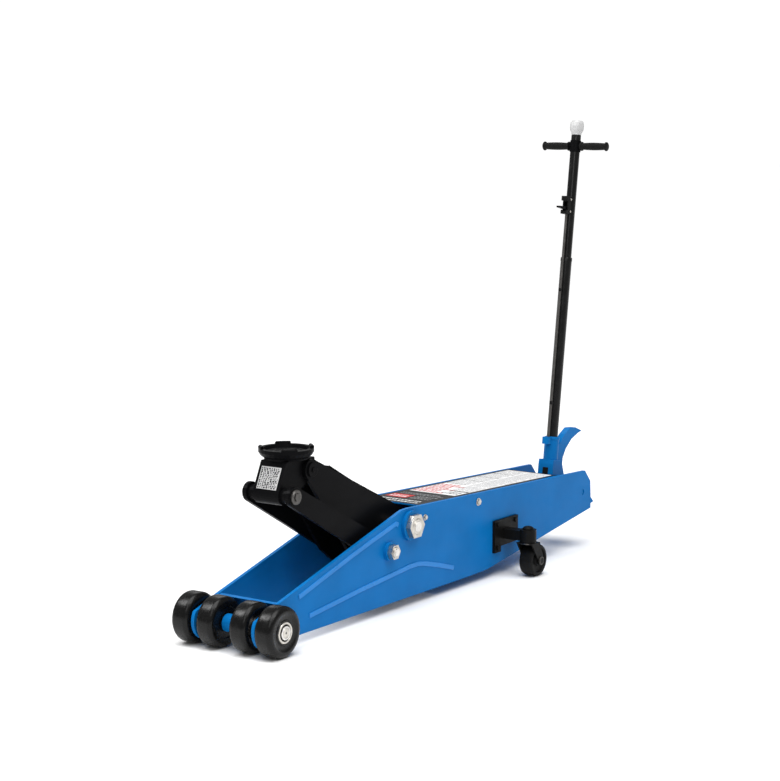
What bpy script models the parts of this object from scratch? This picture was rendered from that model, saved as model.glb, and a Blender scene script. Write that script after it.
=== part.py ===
"""Long-chassis hydraulic service jack at its part-raised rest pose.

Metres, +Z up, -Y towards the front wheels, +X to the jack's right as seen from its front.
Every size in the tables below is in millimetres.
"""

import math

import bmesh
import bpy
from mathutils import Matrix, Vector

MM = 0.001

# Overall layout
WHEEL_R = 60.0
WHEEL_W = 49.0
HALF_INSIDE = 84.0
PLATE_T = 9.0
ARM_LENGTH = 388.0
REST_ANGLE = 28.5
HANDLE_LENGTH = 972.0
HANDLE_LEAN = 7.8

# Clearances
GAP = 0.3
SLIDE_GAP = 0.4
PUSH_GAP = 1.2

# Front axle and wheels
AXLE_R = 12.0
AXLE_LINE = (0.0, WHEEL_R)
WHEEL_SHOULDER = 11.0
WHEEL_INNER_GAP = 11.0
WHEEL_OUTER_GAP = 4.5
SPACER_R = 21.0
CLIP_R = 17.0
CLIP_T = 4.0

# Side plate outline, (y, z)
NOSE_R = 47.0
NOSE_TOP = 112.0
PEAK = (545.0, 249.0)
TAIL_TOP = (1444.0, 215.0)
TAIL_CHAMFER = (1475.0, 181.0)
TAIL_LOW = (1478.0, 103.0)
BOTTOM_KINK = (908.0, 24.0)

# Lift linkage
ARM_PIVOT = (570.0, 204.5)
LINK_OFFSET = (-92.0, -49.0)
SHAFT_R = 20.0
SHAFT_REACH = 25.0
SHAFT_BOSS_R = 38.0
SHAFT_NUT_R = 32.0
SHAFT_NUT_T = 14.0
BOSS_T = 9.0
ARM_OUT = 48.0
ARM_T = 10.0
ARM_FRONT_R = 25.0
ARM_REAR_R = 45.0
ARM_WEB_T = 8.0
ARM_TUBE_R = 32.0
HEAD_PIN_R = 15.0
LINK_IN = 58.0
LINK_T = 10.0
LINK_FRONT_R = 24.0
LINK_REAR_R = 31.0
LINK_PIN_R = 14.0
LINK_PIN_HEAD_R = 19.0
LINK_BOSS_R = 23.0
LINK_NUT_R = 19.5
LINK_NUT_T = 13.0
LINK_BOLT_R = 12.0
LINK_BOLT_HEAD_R = 18.0
LINK_BOLT_HEAD_T = 7.0
BOLT_INSET = 6.0

# Head and saddle
HEAD_LUG_R = 23.5
LUG_SLEEVE_R = 17.5
HEAD_TOP_DROP = 27.0
SADDLE_BACK = 36.0
SADDLE_R = 66.0
SADDLE_H = 32.0
SADDLE_STEM_R = 20.0
SADDLE_STEM_L = 26.0
SADDLE_WELL = 14.0
NOTCH_W = 62.0
NOTCH_D = 6.0

# Ram
LUG_DROP = 100.0
LUG_SWING = 12.0
RAM_PIN_R = 13.0
CROSSHEAD_PLAY = 6.0
CROSSHEAD_LEN = 60.0
CROSSHEAD_H = 70.0
SLOT_PLAY = 2.4
SLOT_RISE = 9.0
RAM_R = 25.0
RAM_LENGTH = 280.0
TANK_R = 47.0
TANK_FRONT = 120.0
TANK_LENGTH = 390.0

# Power unit
BLOCK_LENGTH = 205.0
BLOCK_HALF = 50.0
BLOCK_H = 76.0
PLUNGER_R = 10.0
PLUNGER_HEAD_R = 14.0
PLUNGER_DEPTH = 110.0
VALVE_R = 7.0
VALVE_REACH = 46.0
VALVE_ABOVE = 28.0

# Handle socket
SOCKET_PIVOT = (1432.0, 155.0)
SOCKET_PIN_R = 8.0
SOCKET_OFFSET = 35.7
SOCKET_R = 20.5
SOCKET_TOP = 149.0
SOCKET_FLOOR = 45.0
ROLLER_ARM = 32.0
ROLLER_BACK = 37.5
ROLLER_R = 12.0
ROLLER_HALF = 12.0
EAR_IN = 16.0
EAR_T = 8.0
PEDAL_T = 18.0

# Handle tubes
LOWER_TUBE_R = 15.8
LOWER_BORE_R = 14.0
UPPER_SHOWN = 362.0
UPPER_TUBE_R = 13.6
UPPER_BORE_R = 10.0
TUBE_OVERLAP = 60.0
RELEASE_R = 5.0
T_BAR_HALF = 101.0
T_BAR_R = 7.5
T_SLEEVE_R = 15.4
GRIP_R = 10.8
KNOB_R = 21.0
KNOB_H = 41.0
ROD_R = 3.6
ROD_OFFSET = 20.5
BRACKET_DROP = 169.0
BRACKET_H = 50.0
LEVER_DROP = 8.0
LEVER_HALF = 5.0
ROD_TRAVEL = 7.8

# Casters
CASTER_R = 42.5
CASTER_W = 38.5
CASTER_AT = (1012.0, 75.0)
CASTER_TRAIL = 26.0
FORK_T = 4.0
KINGPIN_R = 8.0
KINGPIN_BOSS_R = 22.0
KINGPIN_BOSS_H = 34.0
MOUNT_T = 8.0

# Covers
COVER_T = 3.0
COVER_FRONT = 52.0
COVER_REAR = 1310.0
COVER_FLANGE = 26.0
PANEL_T = 6.0

# Derived positions
PLATE_OUT = HALF_INSIDE + PLATE_T
ARM_DIR = (math.cos(math.radians(REST_ANGLE)), -math.sin(math.radians(REST_ANGLE)))
HEAD_POINT = (ARM_PIVOT[0] - ARM_LENGTH * ARM_DIR[0], ARM_PIVOT[1] - ARM_LENGTH * ARM_DIR[1])
LINK_REAR = (ARM_PIVOT[0] + LINK_OFFSET[0], ARM_PIVOT[1] + LINK_OFFSET[1])
LINK_FRONT = (HEAD_POINT[0] + LINK_OFFSET[0], HEAD_POINT[1] + LINK_OFFSET[1])
HEAD_TOP = HEAD_POINT[1] + HEAD_TOP_DROP
SADDLE_Y = HEAD_POINT[0] - SADDLE_BACK
LUG_POINT = (
    ARM_PIVOT[0] - LUG_DROP * math.sin(math.radians(LUG_SWING)),
    ARM_PIVOT[1] - LUG_DROP * math.cos(math.radians(LUG_SWING)),
)
RAM_Z = ARM_PIVOT[1] - 0.925 * LUG_DROP
TANK_Y0 = ARM_PIVOT[0] + TANK_FRONT
BLOCK_Y0 = TANK_Y0 + TANK_LENGTH + GAP
BLOCK_Y1 = BLOCK_Y0 + BLOCK_LENGTH
ROLLER = (
    SOCKET_PIVOT[0] + ROLLER_ARM * math.sin(math.radians(ROLLER_BACK)),
    SOCKET_PIVOT[1] - ROLLER_ARM * math.cos(math.radians(ROLLER_BACK)),
)
PLUNGER_Z = SOCKET_PIVOT[1] - 0.9 * ROLLER_ARM
PEDAL_TIP = (115.0, 168.0)
LEAN = math.radians(HANDLE_LEAN)
REAR_END = SOCKET_PIVOT[0] + PEDAL_TIP[0] * math.cos(LEAN) + PEDAL_TIP[1] * math.sin(LEAN)
Y_CENTRE = (REAR_END - WHEEL_R) / 2
BRACKET_AT = HANDLE_LENGTH - BRACKET_DROP
LOWER_TUBE_L = HANDLE_LENGTH - UPPER_SHOWN

SIDES = (("right", 1), ("left", -1))
WHEEL_IN_X = HALF_INSIDE - WHEEL_INNER_GAP - WHEEL_W / 2
WHEEL_OUT_X = PLATE_OUT + WHEEL_OUTER_GAP + WHEEL_W / 2
BLOCK_Z0 = RAM_Z - TANK_R + 22
CASTER_X = PLATE_OUT + CASTER_AT[1]
FORK_TOP = 2 * CASTER_R + 9
BOSS_Z0 = FORK_TOP + GAP
TOP_SLOPE = (TAIL_TOP[1] - PEAK[1]) / (TAIL_TOP[0] - PEAK[0])
LOW_SLOPE = (TAIL_LOW[1] - BOTTOM_KINK[1]) / (TAIL_LOW[0] - BOTTOM_KINK[0])

BLUE = ("blue_paint", (0.015, 0.16, 0.47), 0.35, 0.1)
BLACK = ("black_paint", (0.01, 0.01, 0.011), 0.35, 0.2)
STEEL = ("steel", (0.5, 0.48, 0.45), 0.3, 1.0)
PLASTIC = ("black_plastic", (0.012, 0.012, 0.013), 0.25, 0.0)
RUBBER = ("rubber_grip", (0.014, 0.014, 0.014), 0.75, 0.0)
PALE = ("pale_plastic", (0.7, 0.7, 0.7), 0.35, 0.0)
SHEET = ("cover_sheet", (0.02, 0.15, 0.45), 0.4, 0.1)
CAST = ("cast_iron", (0.03, 0.03, 0.032), 0.6, 0.6)

PART = bpy.data.collections.new("service_jack")
CUTTERS = bpy.data.collections.new("cutters")
EMPTIES = {}


def clear_scene():
    for obj in list(bpy.data.objects):
        bpy.data.objects.remove(obj)
    bpy.context.scene.collection.children.link(PART)
    bpy.context.scene.collection.children.link(CUTTERS)
    CUTTERS.hide_render = True


def add_empty(name, spot, parent=None, tilt=0.0):
    """An empty on a joint axis; spot is (x, y, z) in the parent's frame."""
    empty = bpy.data.objects.new(name, None)
    PART.objects.link(empty)
    empty.parent = parent
    empty.location = Vector(spot) * MM
    empty.rotation_euler = (tilt, 0, 0)
    empty.empty_display_size = 0.03
    EMPTIES[name] = empty
    return empty


def material(look, name):
    """Each sub-part has its own material, so a later change touches only that piece."""
    made = bpy.data.materials.new(name)
    made.use_nodes = True
    made.diffuse_color = (*look[1], 1)
    shader = made.node_tree.nodes["Principled BSDF"]
    shader.inputs["Base Color"].default_value = (*look[1], 1)
    shader.inputs["Roughness"].default_value = look[2]
    shader.inputs["Metallic"].default_value = look[3]
    return made


def add_node(name, mesh, look, body, spot, turn=(0, 0, 0)):
    """Link a mesh as a named node, spot in mm in its parent's frame."""
    mesh.name = name
    obj = bpy.data.objects.new(name, mesh)
    PART.objects.link(obj)
    obj.parent = EMPTIES[body]
    obj.location = Vector(spot) * MM
    obj.rotation_euler = turn
    mesh.materials.clear()
    mesh.materials.append(material(look, name))
    mesh.shade_smooth()
    mesh.set_sharp_from_angle(angle=math.radians(30))
    return obj


def arc(centre, radius, start, end, count):
    """Points on an arc in a (y, z) plane, angles in degrees from +y towards +z."""
    points = []
    for i in range(count + 1):
        angle = math.radians(start + (end - start) * i / count)
        points.append((centre[0] + radius * math.cos(angle), centre[1] + radius * math.sin(angle)))
    return points


def ring_points(centre, radius, count=20):
    return arc(centre, radius, 0, 360, count)[:-1]


def flat_mesh(name, outlines, thickness, origin=(0, 0)):
    """A closed slab from (y, z) outlines, the first outside and the others holes, thick along x."""
    curve = bpy.data.curves.new(name, "CURVE")
    curve.dimensions = "2D"
    curve.fill_mode = "BOTH"
    curve.extrude = thickness / 2 * MM
    for outline in outlines:
        spline = curve.splines.new("POLY")
        spline.points.add(len(outline) - 1)
        for point, (y, z) in zip(spline.points, outline):
            point.co = ((y - origin[0]) * MM, (z - origin[1]) * MM, 0, 1)
        spline.use_cyclic_u = True
    holder = bpy.data.objects.new(name, curve)
    PART.objects.link(holder)
    bpy.context.view_layer.update()
    graph = bpy.context.evaluated_depsgraph_get()
    mesh = bpy.data.meshes.new_from_object(holder.evaluated_get(graph))
    bpy.data.objects.remove(holder)
    bpy.data.curves.remove(curve)
    mesh.transform(Matrix(((0, 0, 1, 0), (1, 0, 0, 0), (0, 1, 0, 0), (0, 0, 0, 1))))
    welded = bmesh.new()
    welded.from_mesh(mesh)
    bmesh.ops.remove_doubles(welded, verts=welded.verts, dist=1e-6)
    bmesh.ops.recalc_face_normals(welded, faces=welded.faces)
    welded.to_mesh(mesh)
    welded.free()
    return mesh


def chain_mesh(name, profile, ring):
    """An edge chain of (radius, height) in the XZ plane, closed for a ring."""
    chain = bmesh.new()
    corners = [chain.verts.new((r * MM, 0, h * MM)) for r, h in profile]
    for a, b in zip(corners, corners[1:]):
        chain.edges.new((a, b))
    if ring:
        chain.edges.new((corners[-1], corners[0]))
    mesh = bpy.data.meshes.new(name)
    chain.to_mesh(mesh)
    chain.free()
    return mesh


def turned(name, profile, look, body, spot, along="z", ring=False, steps=32):
    """A turned node: the profile runs down its outer side and a Screw modifier spins it."""
    turn = {"z": (0, 0, 0), "x": (0, math.pi / 2, 0), "y": (-math.pi / 2, 0, 0)}[along]
    obj = add_node(name, chain_mesh(name, profile, ring), look, body, spot, turn)
    screw = obj.modifiers.new("turn", "SCREW")
    screw.steps = steps
    screw.render_steps = steps
    screw.use_merge_vertices = True
    screw.merge_threshold = 0.0001
    screw.use_normal_calculate = False
    screw.use_smooth_shade = True
    return obj


def rod_profile(radius, low, high, chamfer=1.0):
    return [(0, high), (radius - chamfer, high), (radius, high - chamfer), (radius, low + chamfer),
            (radius - chamfer, low), (0, low)]


def tube_profile(outer, inner, low, high):
    return [(outer, high), (outer, low), (inner, low), (inner, high)]


def hex_nut(name, reach, thickness, bore, look, body, spot):
    """A hexagon nut along x with its middle at spot, reach across half its corners."""
    outline = arc((0, 0), reach, 0, 360, 6)[:-1]
    mesh = flat_mesh(name, [outline, ring_points((0, 0), bore)], thickness)
    return add_node(name, mesh, look, body, spot)


def box_mesh(name, low, high):
    """A box from two corners in mm."""
    solid = bmesh.new()
    size = [b - a for a, b in zip(low, high)]
    middle = [(a + b) / 2 * MM for a, b in zip(low, high)]
    bmesh.ops.create_cube(solid, size=1)
    bmesh.ops.scale(solid, vec=[s * MM for s in size], verts=solid.verts)
    bmesh.ops.translate(solid, vec=middle, verts=solid.verts)
    mesh = bpy.data.meshes.new(name)
    solid.to_mesh(mesh)
    solid.free()
    return mesh


def drum_mesh(name, radius, length, steps=24):
    """A plain cylinder along x about the origin, used for cuts and joins."""
    solid = bmesh.new()
    bmesh.ops.create_cone(solid, cap_ends=True, segments=steps, radius1=radius * MM,
                          radius2=radius * MM, depth=length * MM)
    bmesh.ops.rotate(solid, verts=solid.verts, matrix=Matrix.Rotation(math.pi / 2, 3, "Y"))
    mesh = bpy.data.meshes.new(name)
    solid.to_mesh(mesh)
    solid.free()
    return mesh


def combine(obj, mesh, spot, operation="DIFFERENCE", turn=(0, 0, 0)):
    """Cut or join a helper mesh, placed in the same frame as the object's own spot."""
    helper = bpy.data.objects.new(obj.name + "_tool", mesh)
    CUTTERS.objects.link(helper)
    helper.parent = obj.parent
    helper.location = Vector(spot) * MM
    helper.rotation_euler = turn
    helper.hide_render = True
    helper.display_type = "WIRE"
    change = obj.modifiers.new(operation.lower(), "BOOLEAN")
    change.operation = operation
    change.solver = "EXACT"
    change.object = helper
    return helper


def make_bodies():
    """One empty per moving body, on its joint axis."""
    root = add_empty("frame", (0, -Y_CENTRE, 0))
    lift = add_empty("lift_arm", (0, *ARM_PIVOT), root)
    add_empty("head", (0, *HEAD_POINT), root)
    add_empty("saddle_turn", (0, SADDLE_Y, HEAD_TOP), root)
    add_empty("links", (0, *LINK_REAR), root)
    add_empty("ram", (0, ram_y(), RAM_Z), root)
    add_empty("plunger", (0, ROLLER[0] - ROLLER_R - PUSH_GAP, PLUNGER_Z), root)
    add_empty("valve", (0, BLOCK_Y1, BLOCK_Z0 + BLOCK_H - VALVE_ABOVE + 14), root)
    handle = add_empty("handle", (0, *SOCKET_PIVOT), root, -LEAN)
    add_empty("release", (0, -SOCKET_OFFSET, 0), handle)
    add_empty("rod_slide", (0, -SOCKET_OFFSET - ROD_OFFSET, SOCKET_TOP), handle)
    add_empty("lever", (0, -SOCKET_OFFSET - ROD_OFFSET, BRACKET_AT - LEVER_DROP), handle)
    for side, sign in SIDES:
        for place, x in (("inner", WHEEL_IN_X), ("outer", WHEEL_OUT_X)):
            add_empty(f"hub_{place}_{side}", (sign * x, *AXLE_LINE), root)
        spot = (sign * CASTER_X, CASTER_AT[0], FORK_TOP)
        add_empty(f"swivel_{side}", spot, root)
        add_empty(f"caster_{side}", (sign * CASTER_X, CASTER_AT[0] + CASTER_TRAIL, CASTER_R), root)
    return lift


def ram_y():
    return LUG_POINT[0] + 0.9


def top_z(y):
    return PEAK[1] + TOP_SLOPE * (y - PEAK[0])


def low_z(y):
    return BOTTOM_KINK[1] + max(0.0, LOW_SLOPE * (y - BOTTOM_KINK[0]))


def plate_outline():
    nose = arc(AXLE_LINE, NOSE_R, 148, 250, 10) + [(NOSE_R, BOTTOM_KINK[1] - 2)]
    low = [(BOTTOM_KINK[0] - 60, BOTTOM_KINK[1]), (BOTTOM_KINK[0] + 20, BOTTOM_KINK[1] + 2)]
    start = (45.0, NOSE_TOP)
    top = [(PEAK[0] + 20, PEAK[1]), (PEAK[0] - 8, PEAK[1] - 1)]
    tail = [TAIL_LOW, (TAIL_LOW[0], 116), (TAIL_LOW[0] + 16, 119), (TAIL_LOW[0], 134)]
    return [start] + nose + low + tail + [TAIL_CHAMFER, TAIL_TOP] + top


def side_plate(side, sign):
    holes = [(AXLE_LINE, AXLE_R), (ARM_PIVOT, SHAFT_R), (LINK_REAR, LINK_PIN_R),
             (SOCKET_PIVOT, SOCKET_PIN_R)]
    outlines = [plate_outline()] + [ring_points(c, r + GAP) for c, r in holes]
    name = f"side_plate_{side}"
    mesh = flat_mesh(name, outlines, PLATE_T, ARM_PIVOT)
    spot = (sign * (HALF_INSIDE + PLATE_T / 2), *ARM_PIVOT)
    obj = add_node(name, mesh, BLUE, "frame", spot)
    for centre, radius, bore in ((ARM_PIVOT, SHAFT_BOSS_R, SHAFT_R),
                                 (LINK_REAR, LINK_BOSS_R, LINK_PIN_R)):
        ring = [ring_points((0, 0), radius, 28), ring_points((0, 0), bore + GAP + 0.2)]
        boss = flat_mesh("boss", ring, BOSS_T + 2)
        combine(obj, boss, (sign * (PLATE_OUT - 1 + BOSS_T / 2), *centre), "UNION")


def frame_panels():
    x = HALF_INSIDE - GAP
    y = WHEEL_R + 2
    z = WHEEL_R
    outline = [(y, z - 30), (y + 5, z - 30), (y + 5, z + 32), (y - 14, z + 52), (y - 18, z + 48), (y, z + 30)]
    mesh = flat_mesh("front_cross_member", [outline], 2 * x)
    add_node("front_cross_member", mesh, BLUE, "frame", (0, 0, 0))
    for name, y0, y1 in (("bottom_plate", TANK_Y0 + 10, BLOCK_Y1), ("rear_cross_member",
                         TAIL_LOW[0] - 96, TAIL_LOW[0] - 4)):
        top = [(y0, low_z(y0) + 2), (y1, low_z(y1) + 2)]
        if y0 < BOTTOM_KINK[0]:
            top.insert(1, (BOTTOM_KINK[0], BOTTOM_KINK[1] + 2))
        outline = top + [(a, b + PANEL_T) for a, b in reversed(top)]
        add_node(name, flat_mesh(name, [outline], 2 * x), BLUE, "frame", (0, 0, 0))


def top_cover():
    """A sheet bent down at both sides, as one channel between the side plates."""
    y0 = ARM_PIVOT[0] + COVER_FRONT
    half = HALF_INSIDE - GAP
    depth = COVER_FLANGE
    outline = [(y0, top_z(y0)), (COVER_REAR, top_z(COVER_REAR)),
               (COVER_REAR, top_z(COVER_REAR) - depth), (y0, top_z(y0) - depth)]
    obj = add_node("top_cover", flat_mesh("top_cover", [outline], 2 * half), SHEET, "frame", (0, 0, 0))
    low = [(a - s, b - COVER_T) for (a, b), s in zip(outline, (9, -9, -9, 9))]
    low = low[:2] + [(a, b - 9) for a, b in low[2:]]
    combine(obj, flat_mesh("cover_inside", [low], 2 * (half - COVER_T)), (0, 0, 0))


def axle_parts():
    reach = WHEEL_OUT_X + WHEEL_W / 2 + 1
    turned("front_axle", rod_profile(AXLE_R, -reach, reach), STEEL, "frame", (0, *AXLE_LINE), "x")
    half = WHEEL_IN_X - WHEEL_W / 2 - 0.6
    turned("axle_spacer_tube", tube_profile(SPACER_R, AXLE_R + GAP, -half, half), BLUE, "frame",
           (0, *AXLE_LINE), "x", True)
    for side, sign in SIDES:
        x = sign * (PLATE_OUT - PLATE_T - WHEEL_INNER_GAP / 2)
        half = WHEEL_INNER_GAP / 2 - 0.6
        turned(f"hub_spacer_{side}", tube_profile(SPACER_R, AXLE_R + GAP, -half, half), STEEL,
               "frame", (x, *AXLE_LINE), "x", True)
        for place, x in (("inner", WHEEL_IN_X), ("outer", WHEEL_OUT_X)):
            turned(f"wheel_{place}_{side}", wheel_profile(sign), PLASTIC, f"hub_{place}_{side}",
                   (0, 0, 0), "x", True, 28)


def wheel_profile(sign):
    """Tread with round shoulders, dished outer face and a bore, heights along +x."""
    half = WHEEL_W / 2
    s = WHEEL_SHOULDER
    outer = []
    for i in range(4):
        a = math.radians(90 - 30 * i)
        outer.append((WHEEL_R - s + s * math.cos(a), half - s + s * math.sin(a)))
    outer += [(r, -h) for r, h in reversed(outer)]
    dish = [(30, half), (27, half - 7), (20, half - 7), (18, half - 2), (AXLE_R + GAP, half - 2)]
    low = [(AXLE_R + GAP, -half)]
    return [(r, h * sign) for r, h in outer + low + dish[::-1]][::sign]


def main_pivots():
    reach = PLATE_OUT + SHAFT_REACH
    turned("main_shaft", rod_profile(SHAFT_R, -reach, reach, 2), STEEL, "frame", (0, *ARM_PIVOT), "x")
    for side, sign in SIDES:
        face = PLATE_OUT + BOSS_T + GAP
        hex_nut(f"shaft_nut_{side}", SHAFT_NUT_R, SHAFT_NUT_T, SHAFT_R + GAP, STEEL, "frame",
                (sign * (face + SHAFT_NUT_T / 2), *ARM_PIVOT))
        hex_nut(f"link_nut_{side}", LINK_NUT_R, LINK_NUT_T, LINK_PIN_R + GAP, STEEL, "frame",
                (sign * (face + LINK_NUT_T / 2), *LINK_REAR))
        inner = LINK_IN - 1 - 3
        end = face + LINK_NUT_T + 3
        profile = [(0, end), (LINK_PIN_R - 1, end), (LINK_PIN_R, end - 1), (LINK_PIN_R, LINK_IN - 1),
                   (LINK_PIN_HEAD_R, LINK_IN - 1), (LINK_PIN_HEAD_R, inner), (0, inner)]
        profile = [(r, h * sign) for r, h in profile][::sign]
        turned(f"link_pin_{side}", profile, STEEL, "frame", (0, *LINK_REAR), "x", False, 24)


def lift_arm():
    """Two deep side plates, the web between them, the pivot tube and the ram pin."""
    a = math.degrees(math.atan2(ARM_DIR[1], ARM_DIR[0]))
    front = arc(HEAD_POINT, ARM_FRONT_R, a + 90 + 4, a + 270 - 4, 10)
    rear = arc(ARM_PIVOT, ARM_REAR_R, -30, 62, 6)
    lobe = arc(LUG_POINT, RAM_PIN_R + 15, 235, 345, 6)
    under = [(ARM_PIVOT[0] - 0.48 * ARM_LENGTH, ARM_PIVOT[1] - 0.12 * ARM_LENGTH),
             (ARM_PIVOT[0] - 0.31 * ARM_LENGTH, ARM_PIVOT[1] - 0.24 * ARM_LENGTH)]
    outline = front + under + lobe + rear
    holes = [(ARM_PIVOT, SHAFT_R), (HEAD_POINT, HEAD_PIN_R), (LUG_POINT, RAM_PIN_R)]
    outlines = [outline] + [ring_points(c, r + GAP) for c, r in holes]
    inner = ARM_OUT - ARM_T
    for side, sign in SIDES:
        name = f"arm_plate_{side}"
        mesh = flat_mesh(name, outlines, ARM_T, ARM_PIVOT)
        add_node(name, mesh, BLACK, "lift_arm", (sign * (ARM_OUT - ARM_T / 2), 0, 0))
    turned("arm_pivot_tube", tube_profile(ARM_TUBE_R, SHAFT_R + GAP, -inner + GAP, inner - GAP),
           BLACK, "lift_arm", (0, 0, 0), "x", True)
    web_out, web_in = ARM_REAR_R * 0.78, ARM_REAR_R * 0.78 - ARM_WEB_T
    along = [0.20, 0.82]
    normal = (-ARM_DIR[1], ARM_DIR[0])
    def at(share, off):
        base = (ARM_PIVOT[0] - ARM_DIR[0] * ARM_LENGTH * share,
                ARM_PIVOT[1] - ARM_DIR[1] * ARM_LENGTH * share)
        return (base[0] + normal[0] * off, base[1] + normal[1] * off)
    web = [at(along[0], web_in), at(along[0], web_out), at(along[1], web_out), at(along[1], web_in)]
    mesh = flat_mesh("arm_top_web", [web], 2 * (inner - GAP), ARM_PIVOT)
    add_node("arm_top_web", mesh, BLACK, "lift_arm", (0, 0, 0))
    lug = (0, LUG_POINT[0] - ARM_PIVOT[0], LUG_POINT[1] - ARM_PIVOT[1])
    turned("ram_pin", rod_profile(RAM_PIN_R, -ARM_OUT, ARM_OUT), STEEL, "lift_arm", lug, "x", False, 24)
    pin = (0, HEAD_POINT[0] - ARM_PIVOT[0], HEAD_POINT[1] - ARM_PIVOT[1])
    turned("head_pin", rod_profile(HEAD_PIN_R, -ARM_OUT - 2, ARM_OUT + 2), STEEL, "lift_arm", pin,
           "x", False, 24)


def saddle_head():
    """The head block with a sleeve out to the links on each side."""
    half = ARM_OUT - ARM_T - SLIDE_GAP
    d, b = LINK_FRONT, HEAD_POINT
    outline = [(b[0] + 24, HEAD_TOP), (b[0] - 83, HEAD_TOP), (d[0] - 20, d[1] + 14)]
    outline += arc(d, HEAD_LUG_R, 170, 290, 8)
    outline += arc(b, ARM_FRONT_R + 2, 270, 370, 7)
    outlines = [outline, ring_points(b, HEAD_PIN_R + GAP)]
    obj = add_node("saddle_head", flat_mesh("saddle_head", outlines, 2 * half, b), BLACK, "head",
                   (0, 0, 0))
    offset = (0, *LINK_OFFSET)
    end = ARM_OUT - ARM_T - BOLT_INSET
    combine(obj, drum_mesh("lug_sleeve", LUG_SLEEVE_R, 2 * (LINK_IN - 1.5), 28), offset, "UNION")
    for sign in (1, -1):
        drum = drum_mesh("bolt_hole", LINK_BOLT_R + GAP, 2 * (LINK_IN + 4 - end), 20)
        combine(obj, drum, (sign * (LINK_IN - 1.5), *LINK_OFFSET))
    well = drum_mesh("stem_hole", SADDLE_STEM_R + GAP, 2 * (SADDLE_STEM_L + 1), 24)
    combine(obj, well, (0, SADDLE_Y - b[0], HEAD_TOP - b[1]), "DIFFERENCE", (0, math.pi / 2, 0))
    out = LINK_IN + LINK_T + 0.6
    for side, sign in SIDES:
        profile = [(0, out + LINK_BOLT_HEAD_T), (LINK_BOLT_HEAD_R - 2, out + LINK_BOLT_HEAD_T),
                   (LINK_BOLT_HEAD_R, out + LINK_BOLT_HEAD_T - 2), (LINK_BOLT_HEAD_R, out),
                   (LINK_BOLT_R, out), (LINK_BOLT_R, end), (0, end)]
        profile = [(r, h * sign) for r, h in profile][::sign]
        turned(f"link_bolt_{side}", profile, STEEL, "head", offset, "x", False, 24)


def saddle():
    """Dished saddle on its stem, its rim cut down between four raised lugs."""
    r, h = SADDLE_R, SADDLE_H
    base = 1.0
    profile = [(0, h - SADDLE_WELL), (r - 14, h - SADDLE_WELL), (r - 9, h), (r - 3, h), (r, h - 3),
               (r, h - 14), (r - 5, h - 22), (r - 13, base + 3), (r - 14, base),
               (SADDLE_STEM_R, base), (SADDLE_STEM_R, 1 - SADDLE_STEM_L), (0, 1 - SADDLE_STEM_L)]
    obj = turned("saddle", profile, BLACK, "saddle_turn", (0, 0, 0), "z", False, 32)
    for i in range(4):
        tool = box_mesh("notch", (r - 21, -NOTCH_W / 2, h - NOTCH_D), (r + 5, NOTCH_W / 2, h + 5))
        combine(obj, tool, (0, 0, 0), "DIFFERENCE", (0, 0, math.radians(90 * i)))


def parallel_links():
    for side, sign in SIDES:
        a = math.degrees(math.atan2(ARM_DIR[1], ARM_DIR[0]))
        outline = arc(LINK_FRONT, LINK_FRONT_R, a + 90, a + 270, 12)
        outline += arc(LINK_REAR, LINK_REAR_R, a - 90, a + 90, 12)
        outlines = [outline, ring_points(LINK_FRONT, LINK_BOLT_R + GAP),
                    ring_points(LINK_REAR, LINK_PIN_R + GAP)]
        name = f"parallel_link_{side}"
        mesh = flat_mesh(name, outlines, LINK_T, LINK_REAR)
        add_node(name, mesh, BLACK, "links", (sign * (LINK_IN + LINK_T / 2), 0, 0))


def ram_parts():
    """Crosshead with an upright slot for the ram pin, its rod, and the tank the rod runs in."""
    half_l, half_h = CROSSHEAD_LEN / 2, CROSSHEAD_H / 2
    slot = RAM_PIN_R + SLOT_PLAY
    rise = RAM_PIN_R + SLOT_RISE
    block = [(-half_l, -half_h), (half_l, -half_h), (half_l, half_h), (-half_l, half_h)]
    hole = [(-slot, -rise), (slot, -rise), (slot, rise), (-slot, rise)]
    mesh = flat_mesh("crosshead", [block, hole], 2 * (ARM_OUT - ARM_T - CROSSHEAD_PLAY))
    add_node("crosshead", mesh, STEEL, "ram", (0, 0, 0))
    low, high = half_l + GAP, half_l + RAM_LENGTH
    turned("ram_rod", rod_profile(RAM_R, low, high), STEEL, "ram", (0, 0, 0), "y", False, 28)
    inside = TANK_LENGTH - 16
    profile = [(TANK_R - 3, TANK_LENGTH), (TANK_R, TANK_LENGTH - 3), (TANK_R, 3), (TANK_R - 3, 0),
               (RAM_R + SLIDE_GAP, 0), (RAM_R + SLIDE_GAP, inside), (0, inside), (0, TANK_LENGTH)]
    turned("oil_tank", profile, CAST, "frame", (0, TANK_Y0, RAM_Z), "y", True)


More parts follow.
